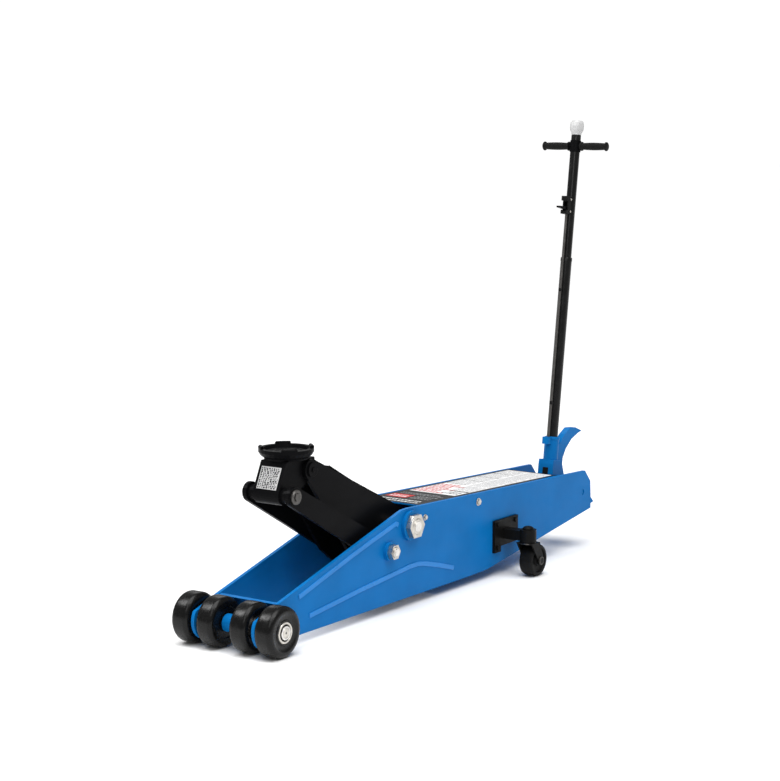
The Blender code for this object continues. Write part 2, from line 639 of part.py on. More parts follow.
def power_unit():
    low = (-BLOCK_HALF, BLOCK_Y0, BLOCK_Z0)
    high = (BLOCK_HALF, BLOCK_Y1, BLOCK_Z0 + BLOCK_H)
    obj = add_node("pump_block", box_mesh("pump_block", low, high), CAST, "frame", (0, 0, 0))
    bore = drum_mesh("plunger_bore", PLUNGER_R + SLIDE_GAP, 2 * (PLUNGER_DEPTH + 4), 20)
    combine(obj, bore, (0, BLOCK_Y1, PLUNGER_Z), "DIFFERENCE", (0, 0, math.pi / 2))
    z = BLOCK_Z0 + BLOCK_H - VALVE_ABOVE + 14
    hole = drum_mesh("valve_bore", VALVE_R + SLIDE_GAP, 60, 20)
    combine(obj, hole, (0, BLOCK_Y1, z), "DIFFERENCE", (0, 0, math.pi / 2))
    turned("release_valve", rod_profile(VALVE_R, -26, VALVE_REACH), STEEL, "valve", (0, 0, 0), "y",
           False, 20)
    back = ROLLER[0] - ROLLER_R - PUSH_GAP - BLOCK_Y1
    head = [(0, 0), (PLUNGER_HEAD_R - 1, 0), (PLUNGER_HEAD_R, -1), (PLUNGER_HEAD_R, -12),
            (PLUNGER_R, -12), (PLUNGER_R, -back - 60), (0, -back - 60)]
    turned("pump_plunger", head, STEEL, "plunger", (0, 0, 0), "y", False, 24)


def handle_socket():
    """Socket barrel with pivot ears, a lug for the lock rod, the pedal and the roller."""
    body = "handle"
    y = -SOCKET_OFFSET
    roll = math.radians(ROLLER_BACK) + LEAN
    roller = (ROLLER_ARM * math.sin(roll), -ROLLER_ARM * math.cos(roll))
    half = EAR_IN + EAR_T
    side = [(y - SOCKET_R - 3, 2), (y - SOCKET_R - 3, 72), (y - SOCKET_R - 1.5, 84),
            (y + SOCKET_R + 1.5, 84)]
    side += [(18, 20)] + arc((0, 0), 18, 30, 0, 3)
    side += arc(roller, 15, 0, -150, 5) + [(-8, -16), (-14, 2)]
    obj = add_node("handle_socket", flat_mesh("handle_socket", [side[::-1]], 2 * half), BLUE, body,
                   (0, 0, 0))
    barrel = drum_mesh("barrel", SOCKET_R, SOCKET_TOP - 60, 28)
    combine(obj, barrel, (0, y, (SOCKET_TOP + 60) / 2), "UNION", (0, math.pi / 2, 0))
    lug = drum_mesh("rod_lug", 11.5, 20, 20)
    combine(obj, lug, (0, y - ROD_OFFSET - 11, SOCKET_TOP - 11), "UNION", (0, math.pi / 2, 0))
    neck = box_mesh("lug_neck", (-9, y - ROD_OFFSET - 11, SOCKET_TOP - 20.5), (9, y - 17, SOCKET_TOP - 1.5))
    combine(obj, neck, (0, 0, 0), "UNION")
    bore = drum_mesh("bore", LOWER_TUBE_R + GAP, SOCKET_TOP - SOCKET_FLOOR + 40, 28)
    combine(obj, bore, (0, y, (SOCKET_TOP + 40 + SOCKET_FLOOR) / 2), "DIFFERENCE", (0, math.pi / 2, 0))
    small = drum_mesh("small_bore", RELEASE_R + 3, 200, 16)
    combine(obj, small, (0, y, 0), "DIFFERENCE", (0, math.pi / 2, 0))
    rod = drum_mesh("rod_bore", ROD_R + SLIDE_GAP, 30, 16)
    combine(obj, rod, (0, y - ROD_OFFSET, SOCKET_TOP), "DIFFERENCE", (0, math.pi / 2, 0))
    pivot = drum_mesh("pivot_bore", SOCKET_PIN_R + GAP, 80, 20)
    combine(obj, pivot, (0, 0, 0))
    slot = box_mesh("slot", (-EAR_IN, y + 17, -60), (EAR_IN, 60, 1))
    combine(obj, slot, (0, 0, 0))
    pin = drum_mesh("roller_bore", 4.3, 80, 12)
    combine(obj, pin, (0, *roller))
    turned("socket_pivot_pin", rod_profile(SOCKET_PIN_R, -PLATE_OUT + 2, PLATE_OUT - 2), STEEL,
           "frame", (0, *SOCKET_PIVOT), "x", False, 24)
    profile = [(0, half), (4, half), (4, ROLLER_HALF), (ROLLER_R, ROLLER_HALF),
               (ROLLER_R, -ROLLER_HALF), (4, -ROLLER_HALF), (4, -half), (0, -half)]
    turned("pump_roller", profile, STEEL, body, (0, *roller), "x", False, 24)


def lift_pedal():
    """The curved foot pedal behind the socket barrel."""
    y = -SOCKET_OFFSET + SOCKET_R + 2.5
    outline = [(y, 122), (y + 11, 135), (y + 32, 157), (y + 59, 175), (y + 90, 177), PEDAL_TIP,
               (y + 109, 162), (y + 72, 143), (y + 44, 115), (y + 31, 89), (y + 30, 60),
               (y + 40, 42), (y + 22, 38), (y + 12, 60), (y, 88)]
    mesh = flat_mesh("lift_pedal", [outline], PEDAL_T)
    add_node("lift_pedal", mesh, BLUE, "handle", (0, 0, 0))


def handle_tubes():
    y = -SOCKET_OFFSET
    base = SOCKET_FLOOR + 1
    step = base + LOWER_TUBE_L
    top = HANDLE_LENGTH + 31
    turned("lower_tube", tube_profile(LOWER_TUBE_R, LOWER_BORE_R, base, step), BLACK, "handle",
           (0, y, 0), "z", True)
    turned("upper_tube", tube_profile(UPPER_TUBE_R, UPPER_BORE_R, step - TUBE_OVERLAP, top), BLACK,
           "handle", (0, y, 0), "z", True)
    obj = turned("t_bar", tube_profile(T_SLEEVE_R, UPPER_TUBE_R + GAP, HANDLE_LENGTH - 16,
                 HANDLE_LENGTH + 16), BLACK, "handle", (0, y, 0), "z", True)
    for sign in (1, -1):
        stub = T_BAR_HALF - UPPER_TUBE_R - 2 + GAP
        tool = drum_mesh("stub", T_BAR_R, stub, 20)
        combine(obj, tool, (sign * (T_BAR_HALF - 1 - stub / 2), y, HANDLE_LENGTH), "UNION")
    for side, sign in SIDES:
        long = T_BAR_HALF - T_SLEEVE_R - 3
        g, e = GRIP_R, GRIP_R + 2
        low, end = T_SLEEVE_R + 3, T_BAR_HALF
        profile = [(g, end), (g, low + 5), (e, low + 4), (e, low), (T_BAR_R + GAP, low),
                   (T_BAR_R + GAP, end - 0.7), (0, end - 0.7), (0, end + 1), (g - 2, end + 1)]
        profile = [(r, h * sign) for r, h in profile][::sign]
        turned(f"grip_{side}", profile, RUBBER, "handle", (0, y, HANDLE_LENGTH), "x", True, 24)
    low = top + 1
    knob = [(0, low + KNOB_H), (KNOB_R - 5, low + KNOB_H), (KNOB_R - 2, low + KNOB_H - 4),
            (KNOB_R, low + KNOB_H - 14), (KNOB_R, low + 12), (KNOB_R - 7, low), (0, low)]
    turned("release_knob", knob, PALE, "release", (0, 0, 0), "z", False, 24)
    turned("release_rod", rod_profile(RELEASE_R, 30, low - GAP), STEEL, "release", (0, 0, 0), "z",
           False, 16)


def lock_parts():
    """Clamp bracket on the upper tube, finger lever, and the rod down into the socket lug."""
    y = -SOCKET_OFFSET
    at = BRACKET_AT
    half = BRACKET_H / 2
    out = ROD_OFFSET
    obj = add_node("lock_bracket", box_mesh("lock_bracket", (-9, y - out - 18, at - half),
                   (9, y - UPPER_TUBE_R / 2, at + half)), BLACK, "handle", (0, 0, 0))
    hole = drum_mesh("tube_seat", UPPER_TUBE_R + GAP, 200, 24)
    combine(obj, hole, (0, y, at), "DIFFERENCE", (0, math.pi / 2, 0))
    recess = box_mesh("recess", (-12, y - out - 40, at - half + 11), (12, y - out - 9, at + half - 13))
    combine(obj, recess, (0, 0, 0))
    slot = box_mesh("lever_slot", (-5.6, y - out - 40, at - LEVER_DROP - 9), (5.6, y - out + 5, at + half - 16))
    combine(obj, slot, (0, 0, 0))
    hole = drum_mesh("rod_guide", ROD_R + SLIDE_GAP, 200, 16)
    combine(obj, hole, (0, y - out, at - 100 - 2), "DIFFERENCE", (0, math.pi / 2, 0))
    lever = [(-48, 2.5), (-50, 0), (-48, -2.5), (-2, -LEVER_HALF), (3.2, -4), (3.2, 4), (-2, LEVER_HALF)]
    mesh = flat_mesh("lock_lever", [lever[::-1]], 10)
    add_node("lock_lever", mesh, BLACK, "lever", (0, 0, 0))
    length = at - LEVER_DROP - SOCKET_TOP - LEVER_HALF - ROD_TRAVEL - PUSH_GAP
    turned("lock_rod", rod_profile(ROD_R, -12, length), STEEL, "rod_slide", (0, 0, 0), "z", False, 16)


def casters():
    for side, sign in SIDES:
        y0 = CASTER_AT[0]
        plate = [(-58, 65 - 96), (-27, 65 - 96), (-27, 80 - 96), (58, 82 - 96), (58, 151 - 96), (-58, 151 - 96)]
        name = f"caster_bracket_{side}"
        mesh = flat_mesh(name, [plate], MOUNT_T - GAP)
        mesh.transform(Matrix.Translation((sign * (PLATE_OUT + GAP + (MOUNT_T - GAP) / 2 - CASTER_X) * MM,
                                           0, 96 * MM)))
        obj = add_node(name, mesh, BLACK, "frame", (sign * CASTER_X, y0, 0))
        inner = -(CASTER_X - PLATE_OUT - 2) * sign
        low, high = sorted((inner, 0))
        arm = box_mesh("arm", (low, -16, BOSS_Z0 + 4), (high, 16, BOSS_Z0 + KINGPIN_BOSS_H - 4))
        combine(obj, arm, (sign * CASTER_X, y0, 0), "UNION")
        boss = drum_mesh("boss", KINGPIN_BOSS_R, KINGPIN_BOSS_H, 24)
        turn = (0, math.pi / 2, 0)
        combine(obj, boss, (sign * CASTER_X, y0, BOSS_Z0 + KINGPIN_BOSS_H / 2), "UNION", turn)
        bore = drum_mesh("bore", KINGPIN_R + GAP, 200, 20)
        combine(obj, bore, (sign * CASTER_X, y0, BOSS_Z0), "DIFFERENCE", turn)
        caster_fork(side)
        profile = [(CASTER_R - 4, 0.5), (CASTER_R, 0.38), (CASTER_R, -0.38), (CASTER_R - 4, -0.5),
                   (KINGPIN_R + GAP, -0.5), (KINGPIN_R + GAP, 0.5)]
        profile = [(r, h * CASTER_W) for r, h in profile]
        turned(f"caster_wheel_{side}", profile, RUBBER, f"caster_{side}", (0, 0, 0), "x", True, 32)


def caster_fork(side):
    """Top plate, two legs, the axle across them and the kingpin above, as one welded fork."""
    reach = CASTER_W / 2 + 1.2 + FORK_T
    t = FORK_T
    drop = CASTER_R - FORK_TOP
    leg = [(-20, 0), (20, 0), (CASTER_TRAIL + 12, drop + 8), (CASTER_TRAIL + 10, drop - 9),
           (CASTER_TRAIL - 10, drop - 9), (CASTER_TRAIL - 14, drop + 4)]
    obj = add_node(f"caster_fork_{side}", flat_mesh("fork", [leg[::-1]], 2 * reach), BLACK,
                   f"swivel_{side}", (0, 0, 0))
    gap = reach - t
    inside = box_mesh("inside", (-gap, -80, -120), (gap, 120, -t))
    combine(obj, inside, (0, 0, 0))
    combine(obj, drum_mesh("axle", KINGPIN_R, 2 * reach + 8, 20), (0, CASTER_TRAIL, drop), "UNION")
    pin = drum_mesh("kingpin", KINGPIN_R, KINGPIN_BOSS_H + 8, 20)
    combine(obj, pin, (0, 0, KINGPIN_BOSS_H / 2), "UNION", (0, math.pi / 2, 0))


def main():
    clear_scene()
    make_bodies()
    for side, sign in SIDES:
        side_plate(side, sign)
    frame_panels()
    top_cover()
    axle_parts()
    main_pivots()
    lift_arm()
    saddle_head()
    saddle()
    parallel_links()
    ram_parts()
    power_unit()
    handle_socket()
    lift_pedal()
    handle_tubes()
    lock_parts()
    casters()


main()
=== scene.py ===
"""Visual model of a long-chassis hydraulic service jack, laid out as a Blender add-on."""

import math
import random

import bmesh
import bpy
from mathutils import Matrix, Vector


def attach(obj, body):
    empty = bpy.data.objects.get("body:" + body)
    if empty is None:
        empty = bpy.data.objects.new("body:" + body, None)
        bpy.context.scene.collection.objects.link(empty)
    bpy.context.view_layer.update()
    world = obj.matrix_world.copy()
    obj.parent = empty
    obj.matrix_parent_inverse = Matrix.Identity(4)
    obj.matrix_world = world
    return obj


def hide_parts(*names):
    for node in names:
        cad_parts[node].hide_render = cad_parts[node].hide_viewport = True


bl_info = {
    "name": "Service Jack Visuals",
    "version": (1, 0, 0),
    "blender": (4, 5, 0),
    "location": "View3D > Sidebar > Service Jack",
    "description": "Builds the visible pieces, materials and studio of a service jack",
    "category": "Object",
}

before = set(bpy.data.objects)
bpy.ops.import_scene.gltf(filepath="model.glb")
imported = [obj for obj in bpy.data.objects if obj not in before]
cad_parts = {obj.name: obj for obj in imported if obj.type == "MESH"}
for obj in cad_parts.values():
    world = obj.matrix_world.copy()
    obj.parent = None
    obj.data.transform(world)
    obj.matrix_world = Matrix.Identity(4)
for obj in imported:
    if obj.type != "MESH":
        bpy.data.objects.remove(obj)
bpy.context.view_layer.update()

MM = 0.001
Y_CENTRE = 754.3681
LEAN = math.radians(7.8)
PIVOT = (1432.0, 155.0)
BARREL_Y = -35.7
TOP_SLOPE = (215.0 - 249.0) / (1444.0 - 545.0)
SIDES = (("right", 1), ("left", -1))
AXLE_Z = 60.0
WHEEL_CENTRES = (("inner", 48.5), ("outer", 122.0))
WHEEL_R = 59.9
WHEEL_HALF = 24.4
PLATE_FACE = 93.2
ARM_HEAD_PIN = (229.02, 389.64)
LINK_FRONT_BOLT = (137.02, 340.64)
SADDLE_Y = 193.02
SADDLE_SEAT_Z = 416.64
SADDLE_FLOOR_Z = 434.64
CASTER_X = 168.0
CASTER_SWIVEL_Y = 1012.0
CASTER_AXLE = (1038.0, 42.5)
GRIP_Z = 972
SHARP_ANGLE = 32.0

# Placing helpers. Pieces are drawn in millimetres: x across, y back from the front axle, z up


def jack_matrix():
    """From the jack's millimetres to the model's metres, centred along y."""
    return Matrix.Translation((0, -Y_CENTRE * MM, 0)) @ Matrix.Scale(MM, 4)


def handle_matrix():
    """The handle's own frame, on its pivot and leaning with it."""
    spot = Matrix.Translation((0, PIVOT[0], PIVOT[1]))
    return jack_matrix() @ spot @ Matrix.Rotation(-LEAN, 4, "X")


def piece(name, bm, material, body, matrix=None, smooth=35.0, bevel=0.0, segments=2):
    """Turn a bmesh in millimetres into a finished piece that rides on a body."""
    bmesh.ops.recalc_face_normals(bm, faces=bm.faces)
    bm.transform(matrix or jack_matrix())
    mesh = bpy.data.meshes.new(name)
    bm.to_mesh(mesh)
    bm.free()
    mesh.shade_smooth()
    mesh.set_sharp_from_angle(angle=math.radians(smooth))
    mesh.materials.append(material)
    obj = bpy.data.objects.new(name, mesh)
    bpy.context.scene.collection.objects.link(obj)
    if bevel:
        soften(obj, bevel, segments)
    if body:
        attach(obj, body)
    return obj


def soften(obj, width, segments=2, angle=SHARP_ANGLE):
    """Round the sharp edges of a piece by a width in millimetres."""
    change = obj.modifiers.new("soft_edges", "BEVEL")
    change.width = width * MM
    change.segments = segments
    change.limit_method = "ANGLE"
    change.angle_limit = math.radians(angle)
    change.harden_normals = False


def axis_turn(axis):
    """The rotation that lays a Z shape along another axis."""
    return {"X": Matrix.Rotation(math.pi / 2, 4, "Y"), "Y": Matrix.Rotation(-math.pi / 2, 4, "X"),
            "Z": Matrix.Identity(4)}[axis]


def lathe(bm, profile, centre, axis="X", steps=64):
    """Spin a profile of (radius, height) a full turn about an axis through centre."""
    corners = [bm.verts.new((0, r, h)) for r, h in profile]
    edges = [bm.edges.new(pair) for pair in zip(corners, corners[1:])]
    if profile[0][0] > 0 and profile[-1][0] > 0:
        edges.append(bm.edges.new((corners[-1], corners[0])))
    bmesh.ops.spin(bm, geom=corners + edges, cent=(0, 0, 0), axis=(0, 0, 1),
                   angle=2 * math.pi, steps=steps, use_merge=True, use_duplicate=False)
    bmesh.ops.remove_doubles(bm, verts=[v for v in bm.verts if not v.tag], dist=1e-4)
    verts = [v for v in bm.verts if not v.tag]
    bmesh.ops.transform(bm, verts=verts, matrix=Matrix.Translation(centre) @ axis_turn(axis))
    for v in verts:
        v.tag = True


def slab(bm, outline, low, high):
    """Extrude a (y, z) outline along x from low to high."""
    face = bm.faces.new([bm.verts.new((low, y, z)) for y, z in outline])
    out = bmesh.ops.extrude_face_region(bm, geom=[face])
    moved = [v for v in out["geom"] if isinstance(v, bmesh.types.BMVert)]
    bmesh.ops.translate(bm, verts=moved, vec=(high - low, 0, 0))


def block(bm, low, high, matrix=None):
    """A box between two corners."""
    made = bmesh.ops.create_cube(bm, size=1)
    size = [b - a for a, b in zip(low, high)]
    middle = [(a + b) / 2 for a, b in zip(low, high)]
    bmesh.ops.scale(bm, vec=size, verts=made["verts"])
    bmesh.ops.translate(bm, vec=middle, verts=made["verts"])
    if matrix is not None:
        bmesh.ops.transform(bm, verts=made["verts"], matrix=matrix)


def drum(bm, radius, low, high, centre, axis="X", steps=24, radius2=None):
    """A cylinder or cone from low to high along an axis through centre."""
    made = bmesh.ops.create_cone(bm, cap_ends=True, segments=steps, radius1=radius,
                                 radius2=radius if radius2 is None else radius2, depth=high - low)
    slide = Matrix.Translation((0, 0, (low + high) / 2))
    place = Matrix.Translation(centre) @ axis_turn(axis) @ slide
    bmesh.ops.transform(bm, verts=made["verts"], matrix=place)


def strip(points, half):
    """The outline of a ribbon of even width along a (y, z) polyline."""
    left, right = [], []
    for i, p in enumerate(points):
        a = Vector(points[max(i - 1, 0)])
        b = Vector(points[min(i + 1, len(points) - 1)])
        along = (b - a).normalized()
        side = Vector((-along.y, along.x)) * half
        left.append((p[0] + side.x, p[1] + side.y))
        right.append((p[0] - side.x, p[1] - side.y))
    return left + right[::-1]


def cover_z(y):
    """Height of the sloping top cover."""
    return 249.0 + TOP_SLOPE * (y - 545.0)


# Materials


def socket_value(node, name, value):
    """Set an input that has no link."""
    node.inputs[name].default_value = value


class Maker:
    """A small builder for one procedural material."""

    def __init__(self, name, colour, rough, metal=0.0):
        self.material = bpy.data.materials.new(name)
        self.material.use_nodes = True
        self.tree = self.material.node_tree
        self.shader = self.tree.nodes["Principled BSDF"]
        socket_value(self.shader, "Base Color", (*colour, 1))
        socket_value(self.shader, "Roughness", rough)
        socket_value(self.shader, "Metallic", metal)
        self.place = self.tree.nodes.new("ShaderNodeTexCoord").outputs["Object"]
        self.bumps = []

    def link(self, a, b):
        self.tree.links.new(a, b)

    def noise(self, scale, detail=4.0, stretch=(1, 1, 1), rough=0.55):
        mapping = self.tree.nodes.new("ShaderNodeMapping")
        socket_value(mapping, "Scale", stretch)
        self.link(self.place, mapping.inputs["Vector"])
        node = self.tree.nodes.new("ShaderNodeTexNoise")
        socket_value(node, "Scale", scale)
        socket_value(node, "Detail", detail)
        socket_value(node, "Roughness", rough)
        self.link(mapping.outputs["Vector"], node.inputs["Vector"])
        return node.outputs["Fac"]

    def spread(self, value, low, high, to_low, to_high):
        node = self.tree.nodes.new("ShaderNodeMapRange")
        for name, number in (("From Min", low), ("From Max", high), ("To Min", to_low),
                             ("To Max", to_high)):
            socket_value(node, name, number)
        self.link(value, node.inputs["Value"])
        return node.outputs["Result"]

    def mix(self, factor, first, second):
        """Colour mix; each end is a colour or an output."""
        node = self.tree.nodes.new("ShaderNodeMix")
        node.data_type = "RGBA"
        self.link(factor, node.inputs["Factor"])
        for name, end in (("A", first), ("B", second)):
            target = [s for s in node.inputs if s.name == name and s.type == "RGBA"][0]
            if isinstance(end, tuple):
                target.default_value = (*end, 1)
            else:
                self.link(end, target)
        return [s for s in node.outputs if s.type == "RGBA"][0]

    def colour(self, output):
        self.link(output, self.shader.inputs["Base Color"])

    def roughness(self, output):
        self.link(output, self.shader.inputs["Roughness"])

    def bump(self, height, strength, distance):
        node = self.tree.nodes.new("ShaderNodeBump")
        socket_value(node, "Strength", strength)
        socket_value(node, "Distance", distance)
        self.link(height, node.inputs["Height"])
        if self.bumps:
            self.link(self.bumps[-1], node.inputs["Normal"])
        self.bumps.append(node.outputs["Normal"])
        self.link(node.outputs["Normal"], self.shader.inputs["Normal"])


def enamel(name, colour, rough, peel=0.12, worn=(0.0, 0.0, 0.0), spec=0.3):
    """Sprayed enamel: orange peel, slow tone drift, rubbed roughness and fine chips."""
    make = Maker(name, colour, rough)
    drift = make.noise(9.0, 3.0)
    dark = tuple(c * 0.94 for c in colour)
    light = tuple(min(1.0, c * 1.05 + 0.0005) for c in colour)
    base = make.mix(make.spread(drift, 0.35, 0.65, 0.0, 1.0), dark, light)
    chips = make.spread(make.noise(240.0, 5.0), 0.735, 0.75, 0.0, 0.8)
    make.colour(make.mix(chips, base, worn))
    rub = make.noise(38.0, 5.0, (1, 0.35, 1))
    make.roughness(make.spread(rub, 0.3, 0.7, rough - 0.06, rough + 0.1))
    make.bump(make.noise(420.0, 2.0), peel, 0.0006)
    make.bump(make.noise(30.0, 2.0), 0.06, 0.002)
    socket_value(make.shader, "Specular IOR Level", spec)
    return make.material


def metal(name, colour, rough, grain=(1, 1, 1)):
    """Plated or machined steel with fine directional marks and dull spots."""
    make = Maker(name, colour, rough, 1.0)
    spots = make.spread(make.noise(60.0, 5.0), 0.4, 0.7, 0.0, 1.0)
    make.colour(make.mix(spots, colour, tuple(c * 0.72 for c in colour)))
    marks = make.noise(300.0, 3.0, grain)
    make.roughness(make.spread(marks, 0.3, 0.7, rough - 0.08, rough + 0.14))
    make.bump(marks, 0.12, 0.0004)
    return make.material


def moulded(name, colour, rough, pebble=0.1, scale=700.0, dust=0.0, spec=0.3):
    """Moulded plastic or rubber with a fine pebble, scuffs and a little dust."""
    make = Maker(name, colour, rough)
    scuff = make.noise(70.0, 6.0, (1, 1, 1), 0.7)
    pale = tuple(min(1.0, c * 1.6 + dust) for c in colour)
    make.colour(make.mix(make.spread(scuff, 0.52, 0.74, 0.0, 0.8), colour, pale))
    make.roughness(make.spread(scuff, 0.3, 0.7, rough - 0.07, rough + 0.12))
    make.bump(make.noise(scale, 2.0), pebble, 0.0003)
    socket_value(make.shader, "Specular IOR Level", spec)
    return make.material


def print_ink(name, colour, rough=0.32):
    """Printed film with a faint mottle."""
    make = Maker(name, colour, rough)
    drift = make.noise(45.0, 4.0)
    dark = tuple(c * 0.9 for c in colour)
    make.colour(make.mix(make.spread(drift, 0.35, 0.65, 0.0, 1.0), dark, colour))
    make.roughness(make.spread(drift, 0.3, 0.7, rough - 0.05, rough + 0.1))
    make.bump(make.noise(160.0, 2.0), 0.05, 0.0004)
    socket_value(make.shader, "Specular IOR Level", 0.15)
    return make.material


def cast(name, colour, rough):
    """Rough cast iron."""
    make = Maker(name, colour, rough, 0.4)
    lumps = make.noise(180.0, 6.0, (1, 1, 1), 0.7)
    make.colour(make.mix(make.spread(lumps, 0.4, 0.7, 0.0, 1.0), colour, tuple(c * 1.7 for c in colour)))
    make.roughness(make.spread(lumps, 0.3, 0.7, rough - 0.1, rough + 0.15))
    make.bump(lumps, 0.4, 0.001)
    return make.material


MATERIALS = {}


def make_materials(look):
    """Every finish on the jack, by a short key."""
    blue = tuple(look.blue)
    # The ribs get a lighter copy of the blue enamel: painted highlight where their rounded tops catch the
    # light, not a different paint.
    bead_highlight_tint = tuple(c * 1.3 + 0.01 for c in blue)
    MATERIALS.update({
        "blue": enamel("blue_enamel", blue, look.blue_rough, 0.10, (0.04, 0.2, 0.46), 0.06),
        "blue_bead_painted_highlight": enamel("blue_enamel_bead_painted_highlight", bead_highlight_tint, 0.3, spec=0.2),
        "black": enamel("black_enamel", (0.0035, 0.0035, 0.004), 0.34, 0.12, (0.01, 0.01, 0.01), 0.03),
        "tube": enamel("black_gloss_tube", (0.005, 0.005, 0.005), 0.2, 0.05, (0.02, 0.02, 0.02), 0.25),
        "bracket": moulded("black_bracket_coat", (0.005, 0.005, 0.0048), 0.42, 0.25, 500.0, 0.0, 0.08),
        "steel": metal("zinc_steel", (0.6, 0.57, 0.52), 0.32),
        "bright": metal("bright_bar", (0.72, 0.7, 0.67), 0.2, (1, 1, 0.1)),
        "dark_steel": metal("dark_oiled_steel", (0.12, 0.115, 0.11), 0.4),
        "wheel": moulded("wheel_nylon", (0.004, 0.004, 0.004), 0.24, 0.03, 300.0, 0.001, 0.2),
        "rubber": moulded("black_rubber", (0.006, 0.006, 0.006), 0.5, 0.15, 700.0, 0.002, 0.1),
        "pale": moulded("pale_knob_plastic", (0.5, 0.5, 0.5), 0.3, 0.04, 500.0),
        "cast": cast("cast_iron", (0.02, 0.02, 0.022), 0.6),
        "ink_black": print_ink("ink_black", (0.008, 0.008, 0.009)),
        "ink_white": print_ink("ink_white", (0.8, 0.8, 0.8)),
        "ink_red": print_ink("ink_red", (0.5, 0.012, 0.015)),
        "ink_grey": print_ink("ink_grey", (0.33, 0.33, 0.34)),
        "badge": print_ink("badge_film", (0.5, 0.5, 0.5)),
    })


def dress_nodes():
    """Every shown CAD node gets a detailed material and softened edges."""
    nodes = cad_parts
    looks = {
        "blue": (("side_plate_right", 1.6), ("side_plate_left", 1.6), ("front_cross_member", 1.0),
                 ("rear_cross_member", 0.8), ("bottom_plate", 0.8), ("axle_spacer_tube", 1.0),
                 ("handle_socket", 1.2), ("lift_pedal", 2.5), ("socket_pivot_pin", 0.5), ("top_cover", 0.7)),
        "black": (("arm_plate_right", 1.2), ("arm_plate_left", 1.2), ("arm_top_web", 0.8),
                  ("arm_pivot_tube", 0.8), ("parallel_link_right", 1.4), ("parallel_link_left", 1.4),
                  ("saddle_head", 2.2), ("saddle", 1.3), ("lock_lever", 1.0), ("t_bar", 0.8)),
        "bracket": (("caster_bracket_right", 1.2), ("caster_bracket_left", 1.2),
                    ("caster_fork_right", 0.8), ("caster_fork_left", 0.8), ("lock_bracket", 1.6)),
        "tube": (("lower_tube", 0.5), ("upper_tube", 0.4)),
        "steel": (("shaft_nut_right", 1.3), ("shaft_nut_left", 1.3), ("link_nut_right", 1.0),
                  ("link_nut_left", 1.0), ("front_axle", 0.6), ("main_shaft", 0.8),
                  ("link_pin_right", 0.6), ("link_pin_left", 0.6),
                  ("hub_spacer_right", 0.5), ("hub_spacer_left", 0.5), ("release_valve", 0.5)),
        "dark_steel": (("lock_rod", 0.4), ("crosshead", 1.5), ("head_pin", 0.6), ("ram_pin", 0.6),
                       ("pump_roller", 0.5), ("link_bolt_right", 1.0), ("link_bolt_left", 1.0),
                       ("release_rod", 0.3)),
        "bright": (("ram_rod", 0.5), ("pump_plunger", 0.5)),
        "cast": (("oil_tank", 1.0), ("pump_block", 2.0)),
    }
    for look, entries in looks.items():
        for name, width in entries:
            obj = nodes[name]
            obj.data.materials.clear()
            obj.data.materials.append(MATERIALS[look])
            obj.data.shade_smooth()
            obj.data.set_sharp_from_angle(angle=math.radians(SHARP_ANGLE))
            soften(obj, width)


# Pieces


def build_wheels(look):
    """Four nylon rollers with crowned tread, dished faces, seals and bearing rings."""
    for side, sign in SIDES:
        for place, centre in WHEEL_CENTRES:
            body = f"wheel_body_{place}_{side}"
            node = f"wheel_{place}_{side}"
            r, half, s = WHEEL_R, WHEEL_HALF, look.wheel_shoulder
            outer = []
            for i in range(9):
                a = math.radians(90 - 11.25 * i)
                outer.append((r - s + s * math.cos(a), half - s + s * math.sin(a)))
            outer += [(r, 0.0)]
            outer += [(x, -h) for x, h in reversed(outer[:-1])]
            low = [(38, -half + 0.4), (36, -half + 3), (20, -half + 3.5), (12.6, -half + 3.5)]
            high = [(12.6, half - 6.5), (25.2, half - 6.5), (26.2, half - 1.4), (29, half - 1.4),
                    (30.5, half - 3.2), (37, half - 2.8), (42.5, half - 0.9), (44.5, half)]
            bm = bmesh.new()
            profile = [(x, h * sign) for x, h in outer + low + high]
            lathe(bm, profile, (sign * centre, 0, AXLE_Z), "X", 72)
            obj = piece(f"roller_{place}_{side}", bm, MATERIALS["wheel"], body, smooth=40)
            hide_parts(node)
            bm = bmesh.new()
            ring = [(25.0, half - 6.2), (25.0, half - 1.4), (24.2, half - 0.6), (20.4, half - 0.6),
                    (19.6, half - 1.4), (19.6, half - 6.2)]
            lathe(bm, [(x, h * sign) for x, h in ring], (sign * centre, 0, AXLE_Z), "X", 56)
            obj = piece(f"bearing_ring_{place}_{side}", bm, MATERIALS["steel"], body)
            bm = bmesh.new()
            seal = [(19.4, half - 6.2), (19.4, half - 3.2), (12.7, half - 3.2), (12.7, half - 6.2)]
            lathe(bm, [(x, h * sign) for x, h in seal], (sign * centre, 0, AXLE_Z), "X", 48)
            obj = piece(f"bearing_seal_{place}_{side}", bm, MATERIALS["rubber"], body)


def build_axle_ends(look):
    """A retaining ring and a washer near each end of the front axle."""
    for side, sign in SIDES:
        bm = bmesh.new()
        x = sign * 146.1
        ring = [(16.4, -2.2 * sign), (16.4, 0.6 * sign), (15.6, 1.3 * sign), (12.1, 1.3 * sign),
                (12.1, -2.2 * sign)]
        lathe(bm, ring, (x, 0, 60), "X", 48)
        obj = piece(f"axle_ring_{side}", bm, MATERIALS["bright"], "chassis", smooth=30)
        bm = bmesh.new()
        drum(bm, 3.2, -0.15, 0.35, (sign * 147.5, 0, 60), "X", 20, 2.2)
        obj = piece(f"axle_centre_{side}", bm, MATERIALS["dark_steel"], "chassis")


